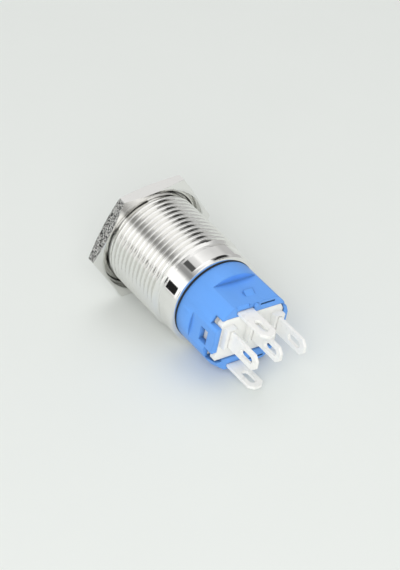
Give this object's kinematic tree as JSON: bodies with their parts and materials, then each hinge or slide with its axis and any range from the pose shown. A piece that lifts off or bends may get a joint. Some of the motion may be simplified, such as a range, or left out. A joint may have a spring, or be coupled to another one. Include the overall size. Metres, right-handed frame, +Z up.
{
  "type": "latching push button switch",
  "caption": "Panel push button with a threaded nickel barrel, hex nut, sprung latching button, ring light and blue rear housing with solder lugs.",
  "frame": {"origin": "on the switch's axis, in the rear face of the nut, where a panel sits", "axes": "+Y along the axis from the button to the solder lugs; +Z up, square to a flat of the nut; the housing is turned 8.8 degrees from it"},
  "size_m": [0.0218, 0.0373, 0.0188],
  "materials": {
    "nickel": "bright nickel plating on turned brass",
    "light_guide": "frosted clear moulding",
    "blue_nylon": "fine moulded satin",
    "white_nylon": "moulded satin",
    "silver_plate": "silver plating on stamped brass",
    "silver": "silver contact alloy",
    "spring_steel": "drawn wire",
    "spring_bronze": "rolled bronze strip",
    "white_acetal": "smooth moulded",
    "black_rubber": "matt",
    "lamp_board": "white solder mask",
    "lamp": "clear resin over phosphor",
    "resistor": "matt"
  },
  "bodies": {
    "switch_body": {"barrel": "nickel", "barrel_gasket": "black_rubber", "bias_spring": "spring_steel", "contact_spring": "spring_steel", "fixed_contact_closed": "silver", "fixed_contact_open": "silver", "latch_leaf": "spring_bronze", "led_1": "lamp", "led_2": "lamp", "led_3": "lamp", "led_4": "lamp", "led_board": "lamp_board", "led_resistor": "resistor", "light_guide": "light_guide", "rear_housing": "blue_nylon", "return_spring": "spring_steel", "terminal_closed": "silver_plate", "terminal_common": "silver_plate", "terminal_insert": "white_nylon", "terminal_lamp_lower": "silver_plate", "terminal_lamp_upper": "silver_plate", "terminal_open": "silver_plate"},
    "button": {"button_cap": "nickel", "cap_seal": "black_rubber", "button_stem": "white_acetal"},
    "latch": {"latch_pin": "spring_steel"},
    "rocker": {"contact_blade": "spring_bronze", "moving_contact_open": "silver", "moving_contact_closed": "silver"},
    "nut": {"mounting_nut": "nickel"}
  },
  "joints": [
    {"name": "button_slide", "type": "slide", "parent": "switch_body", "child": "button", "axis": [0, 1, 0], "range_m": [0, 0.0028], "stiffness_N_per_m": 400, "springref_m": -0.004, "deforming": ["return_spring", "contact_spring", "bias_spring"]},
    {"name": "latch_swing", "type": "hinge", "parent": "switch_body", "child": "latch", "pos_m": [0, 0.0186, 0], "axis": [-0.153, 0, 0.9882], "range_deg": [0, 12.69]},
    {"name": "blade_rock", "type": "hinge", "parent": "switch_body", "child": "rocker", "pos_m": [0, 0.0178, 0], "axis": [-0.153, 0, 0.9882], "range_deg": [0, 7.2]},
    {"name": "nut_spin", "type": "hinge", "parent": "switch_body", "child": "nut", "pos_m": [0, 0, 0], "axis": [0, 1, 0], "continuous": true}
  ],
  "couplings": [
    {"joint": "latch_swing", "follows": "button_slide", "rad_per_m": 77.835},
    {"joint": "blade_rock", "follows": "button_slide", "rad_per_m": 43.633}
  ]
}
